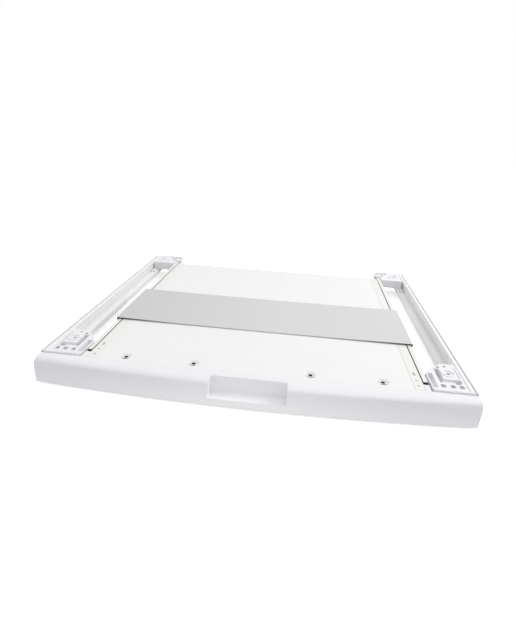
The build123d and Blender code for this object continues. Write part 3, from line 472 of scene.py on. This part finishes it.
edge_mask = math_step(edge_shadow_tree, (5, 0), "MULTIPLY", front_or_rear_faces.outputs[0], darker_towards_ends.outputs[0])
edge_shadow_tree.links.new(edge_mask, leave["Mask"])
print("effect:", edge_shadow_tree.name)

# %% [markdown]
# ## Finishes
# A finish could be one colour and one roughness, but real white plastic is never even: the mould leaves
# a grain, handling polishes it in patches, and dust dulls what faces up. The helper below takes one
# surface effect and the dust, mixes two near shades by the effect's slow tone, and lets the fine height
# drive both the roughness and a very shallow bump. The marks of painted shade are laid over that, one
# after the other.

# %% A helper that makes a finish
DUST_COLOUR = (0.55, 0.54, 0.52, 1.0)
DUST_AMOUNT = 0.06
BUMP_STRENGTH = 0.5
COAT_ROUGHNESS = 0.25


def place_effect(tree, effect_tree, settings):
    """Puts a shared effect into a material's tree, with this material's own values."""
    placed = tree.nodes.new("ShaderNodeGroup")
    placed.node_tree = effect_tree
    for label, value in settings.items():
        placed.inputs[label].default_value = value
    return placed.outputs


def blend(tree, place, share, first, second):
    """Colour that goes from the first to the second as the share grows."""
    inputs = {"Factor": share, "A": first, "B": second}
    return wire(tree, "ShaderNodeMix", place, inputs, data_type="RGBA").outputs["Result"]


def finish(
    name, effect_tree, shades, rough, bump, settings=None, painted_marks=(), dust_amount=DUST_AMOUNT,
    metal=0.0, coat=0.0, shine=0.5,
):
    """A material with two near shades, a range of roughness and a bump in millimetres.

    Each mark paints shade: a shared effect, its settings and the colour that it gives the surface.
    """
    material, tree = blank_material(name)
    surface = place_effect(tree, effect_tree, settings or {})
    layer = place_effect(tree, dust, {"Amount": dust_amount})
    low_shade, high_shade = ((*shade, 1.0) for shade in shades)
    colour = blend(tree, (2, 0), surface["Tone"], low_shade, high_shade)
    colour = blend(tree, (3, 0), layer["Mask"], colour, DUST_COLOUR)
    for row, (mark_tree, mark_settings, painted_colour) in enumerate(painted_marks, 1):
        painted_mask = place_effect(tree, mark_tree, mark_settings)
        colour = blend(tree, (3, -row), painted_mask["Mask"], colour, (*painted_colour, 1.0))
    gloss = wire(
        tree, "ShaderNodeMapRange", (3, 1),
        {"Value": surface["Height"], "To Min": rough[0], "To Max": rough[1]},
    )
    relief = wire(
        tree, "ShaderNodeBump", (3, 2),
        {"Height": surface["Height"], "Distance": bump * MM, "Strength": BUMP_STRENGTH},
    )
    skin = wire(
        tree, "ShaderNodeBsdfPrincipled", (4, 0),
        {
            "Base Color": colour, "Roughness": gloss.outputs[0], "Normal": relief.outputs[0],
            "Metallic": metal, "Specular IOR Level": shine,
            "Coat Weight": coat, "Coat Roughness": COAT_ROUGHNESS,
        },
    )
    wire(tree, "ShaderNodeOutputMaterial", (5, 0), {"Surface": skin.outputs[0]})
    print("finish:", name)
    return material


# %% [markdown]
# ## White plastics
# The fascia, the side covers, the corner mouldings and the clips are white plastic, but not the same
# white. The fascia is what people touch and see, so it is smooth and bright. The corner mouldings are
# matt and a little blue, as plain engineering plastic is. A single white for all would look like one
# lump. The covers' outer top edge gets painted shade, a darker band where shade falls along it, which is
# placed from the box of the right cover.

# %% Fascia, covers, corners and clips
COVER_RIM_WIDTH, COVER_RIM_DEPTH = 2.9, 2.6
COVER_RIM_PAINTED_SHADE = (0.70, 0.70, 0.705)
cover_high = box_in_mm("right_side_cover")[1]
# Painted shade along the covers' outer top edge.
cover_rim_painted_shade = painted_shade_mark(
    COVER_RIM_PAINTED_SHADE, x=(cover_high.x - COVER_RIM_WIDTH, FAR), z=(cover_high.z - COVER_RIM_DEPTH, FAR)
)

# The fascia's last two settings paint light onto the lower part of its front wall and shade onto its
# ends.
fascia_white_with_painted_light = finish(
    "fascia_white_with_painted_light", grain_and_painted_light, ((0.74, 0.738, 0.785), (0.93, 0.93, 0.945)), (0.28, 0.38), 0.02,
    settings={"Spread": 0.12, "Base": 0.56, "Painted Light Low": 0.6, "Painted End Shade": 3.0}, coat=0.12,
)
cover_white_with_painted_shade = finish(
    "cover_white_with_painted_shade", grain_and_painted_light, ((0.77, 0.77, 0.78), (0.80, 0.80, 0.81)), (0.45, 0.58), 0.02,
    painted_marks=(cover_rim_painted_shade,), shine=0.2,
)
corner_white = finish(
    "corner_white", grain_and_painted_light, ((0.84, 0.84, 0.87), (0.87, 0.87, 0.895)), (0.42, 0.58), 0.05,
    settings={"Scale": 1900.0},
)
clip_white = finish("clip_white", grain_and_painted_light, ((0.84, 0.84, 0.84), (0.87, 0.87, 0.87)), (0.35, 0.48), 0.03)

# %% [markdown]
# ## Board
# The shelf is chipboard with a white melamine face, which has a faint pearl grain. A picture
# of such a face could be laid on it, but the mould grain at a coarser scale looks the same.

# %% Board
board_white = finish(
    "board_white", grain_and_painted_light, ((0.86, 0.86, 0.862), (0.885, 0.885, 0.888)), (0.34, 0.5), 0.03,
    settings={"Scale": 1300.0, "Cloud": 9.0},
)

# %% [markdown]
# ## Rails
# The side rails are folded steel with white powder coat. Two marks paint shade onto them: a darker band
# where the ledge meets the wall, and one along the inner edge of the crown. More and weaker lamps might
# give both, but would change all else too, so two marks of painted shade do it. They are placed from the
# box of the right rail.

# %% Rails
RAIL_CORNER_PAINTED_SHADE = (0.83, 0.83, 0.83)
RAIL_SHADE_PAST_LEDGE, RAIL_SHADE_UNDER_TOP, RAIL_SHADE_EDGE = 6.0, 10.0, 4.0
CROWN_PAINTED_SHADE = (0.85, 0.85, 0.855)
CROWN_PAST_LEDGE, CROWN_FROM_OUTSIDE, CROWN_DEPTH, CROWN_EDGE = 7.0, 3.1, 4.5, 1.0
rail_low, rail_high = box_in_mm("right_side_rail")
# Painted shade in the corner of ledge and wall, and along the crown's inner edge.
rail_corner_painted_shade = painted_shade_mark(
    RAIL_CORNER_PAINTED_SHADE, x=(rail_low.x + RAIL_SHADE_PAST_LEDGE, FAR),
    z=(-FAR, rail_high.z - RAIL_SHADE_UNDER_TOP), edge=RAIL_SHADE_EDGE,
)
crown_painted_shade = painted_shade_mark(
    CROWN_PAINTED_SHADE, x=(rail_low.x + CROWN_PAST_LEDGE, rail_high.x - CROWN_FROM_OUTSIDE),
    z=(rail_high.z - CROWN_DEPTH, FAR), edge=CROWN_EDGE,
)
rail_white_with_painted_shade = finish(
    "rail_white_with_painted_shade", peel, ((0.92, 0.92, 0.92), (0.94, 0.94, 0.94)), (0.3, 0.42), 0.08,
    painted_marks=(rail_corner_painted_shade, crown_painted_shade), coat=0.1,
)

# %% [markdown]
# ## Runners
# The runners and their tracks have the slightly yellow epoxy coat of drawer runners. Seen from above,
# the gap beside the panel is in deep shade, so the runners' faces inside it get a near-black painted
# shadow. A black strip could be laid in the gap, but it would show once the shelf is pulled out. The
# painted shadow colours the runners' own faces and fades downwards, so a track seen from the side is
# still mostly cream.

# %% Runners and tracks
RUNNER_GAP_PAINTED_SHADOW = (0.035, 0.034, 0.03)
GAP_SHADOW_PAST_INSIDE, GAP_SHADOW_FROM_OUTSIDE, GAP_SHADOW_OVER_FLOOR, GAP_SHADOW_UNDER_TOP = 0.9, 0.5, 1.2, 0.2
GAP_SHADOW_RISE = 0.035
track_low, track_high = box_in_mm("right_runner_track")
# Painted shadow inside the gap beside the panel.
runner_gap_painted_shadow = painted_shade_mark(
    RUNNER_GAP_PAINTED_SHADOW, x=(track_low.x - GAP_SHADOW_PAST_INSIDE, track_high.x - GAP_SHADOW_FROM_OUTSIDE),
    z=(track_low.z + GAP_SHADOW_OVER_FLOOR, track_high.z - GAP_SHADOW_UNDER_TOP), rise=GAP_SHADOW_RISE,
)
runner_cream_with_painted_shadow = finish(
    "runner_cream_with_painted_shadow", peel, ((0.835, 0.832, 0.80), (0.855, 0.852, 0.822)), (0.28, 0.4), 0.06,
    painted_marks=(runner_gap_painted_shadow,), coat=0.1,
)

# %% [markdown]
# ## Cross plate
# The cross plate is bare galvanised sheet, whose crystals show as soft patches. Polished
# metal would mirror the white room and turn white, so it is only partly metallic, with a
# rough surface.

# %% Cross plate
# Painted shadow: a near-black mark on the plate's front and rear edges, darker towards the ends.
PLATE_EDGE_PAINTED_SHADOW = (0.02, 0.02, 0.02)
EDGE_SHADOW_START_X, EDGE_SHADOW_FULL_X = 130.0, 235.0
plate_edge_shadow_mark = (edge_shadow_tree, {"Start X": EDGE_SHADOW_START_X * MM, "Full X": EDGE_SHADOW_FULL_X * MM}, PLATE_EDGE_PAINTED_SHADOW)
# The plate's lean is painted light: its right end is painted brighter, towards the lamp.
plate_zinc_with_painted_light_and_shadow = finish(
    "plate_zinc_with_painted_light_and_shadow", zinc_and_painted_light, ((0.585, 0.585, 0.588), (0.67, 0.67, 0.67)), (0.42, 0.6), 0.02,
    settings={"Scale": 240.0, "Spread": 0.15, "Painted Light Lean": 3.0, "Base": 0.85}, painted_marks=(plate_edge_shadow_mark,),
    dust_amount=0.02, metal=0.35,
)

# %% [markdown]
# ## Screws, rivets and pins
# All fixings are bright zinc. The four countersunk screws behind the fascia are the only ones that are
# easy to see, and their sockets lie in shade. A darker material for them alone would hide their bright
# rims, so marks of painted shade darken the sockets and the middle of each head, and a painted shadow
# lies as a crescent on the front of each head. The marks are placed from the middle and the top of the
# screws' box.

# %% Fixings
SCREW_XS = (81.0, 178.0)
HEAD_DEPTH = 4.1
SOCKET_PAINTED_SHADE, SOCKET_TO_REAR, SOCKET_UNDER_TOP = (0.02, 0.02, 0.02), 5.85, 0.2
HEAD_MIDDLE_PAINTED_SHADE, HEAD_SHADE_REACH_X, HEAD_SHADE_REACH_Y = (0.05, 0.05, 0.048), 2.6, 2.35
CRESCENT_PAINTED_SHADOW, CRESCENT_FRONT, CRESCENT_REAR = (0.22, 0.21, 0.20), 9.15, 3.75
screw_low, screw_high = box_in_mm("fascia_screws")
screw_y = (screw_low.y + screw_high.y) / 2
head_foot = screw_high.z - HEAD_DEPTH
# Painted shade: a crescent on the front of each head, the sockets and the middle of each head.
crescent_painted_shadow = painted_shade_mark(
    CRESCENT_PAINTED_SHADOW, y=(screw_y - CRESCENT_FRONT, screw_y - CRESCENT_REAR), z=(head_foot, FAR)
)
socket_painted_shade = painted_shade_mark(
    SOCKET_PAINTED_SHADE, y=(-FAR, screw_y + SOCKET_TO_REAR), z=(head_foot, screw_high.z - SOCKET_UNDER_TOP)
)
head_middle_painted_shade = [
    painted_shade_mark(
        HEAD_MIDDLE_PAINTED_SHADE, x=(x - HEAD_SHADE_REACH_X, x + HEAD_SHADE_REACH_X),
        y=(screw_y - HEAD_SHADE_REACH_Y, screw_y + HEAD_SHADE_REACH_Y), z=(head_foot, FAR),
    )
    for x in SCREW_XS
]
fixing_zinc_with_painted_shade = finish(
    "fixing_zinc_with_painted_shade", zinc_and_painted_light, ((0.70, 0.70, 0.69), (0.84, 0.84, 0.83)), (0.22, 0.4), 0.01,
    settings={"Scale": 900.0}, painted_marks=(crescent_painted_shadow, socket_painted_shade, *head_middle_painted_shade), metal=0.95,
)

# %% [markdown]
# ## Nylon and rubber
# The rollers are natural nylon, which is a little yellow. The grip strips and pads under the
# frame are soft white rubber, which is rough and has no dust, because it faces down.

# %% Rollers, strips and pads
roller_nylon = finish("roller_nylon", grain_and_painted_light, ((0.80, 0.79, 0.74), (0.84, 0.83, 0.79)), (0.35, 0.5), 0.02)
grip_rubber = finish(
    "grip_rubber", grain_and_painted_light, ((0.82, 0.82, 0.825), (0.86, 0.86, 0.865)), (0.7, 0.88), 0.05,
    dust_amount=0.0,
)

# %% [markdown]
# ## Give each piece its finish
# The pieces could be dressed one by one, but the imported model's record already says which
# material slot each piece belongs to. So one table ties each slot to a finish, and one loop
# does the rest.

# %% Dress the pieces
FINISH_OF_SLOT = {
    "board": board_white,
    "fascia": fascia_white_with_painted_light,
    "cover": cover_white_with_painted_shade,
    "corner": corner_white,
    "clip": clip_white,
    "rail": rail_white_with_painted_shade,
    "runner": runner_cream_with_painted_shadow,
    "plate": plate_zinc_with_painted_light_and_shadow,
    "fixing": fixing_zinc_with_painted_shade,
    "roller": roller_nylon,
    "grip": grip_rubber,
}
slot_of_node = {part["node"]: part["material_slot"] for part in frame["record"]["subparts"]}
for name, piece in nodes.items():
    for slot in piece.material_slots:
        slot.material = FINISH_OF_SLOT[slot_of_node[name]]
print("dressed pieces:", len(nodes))
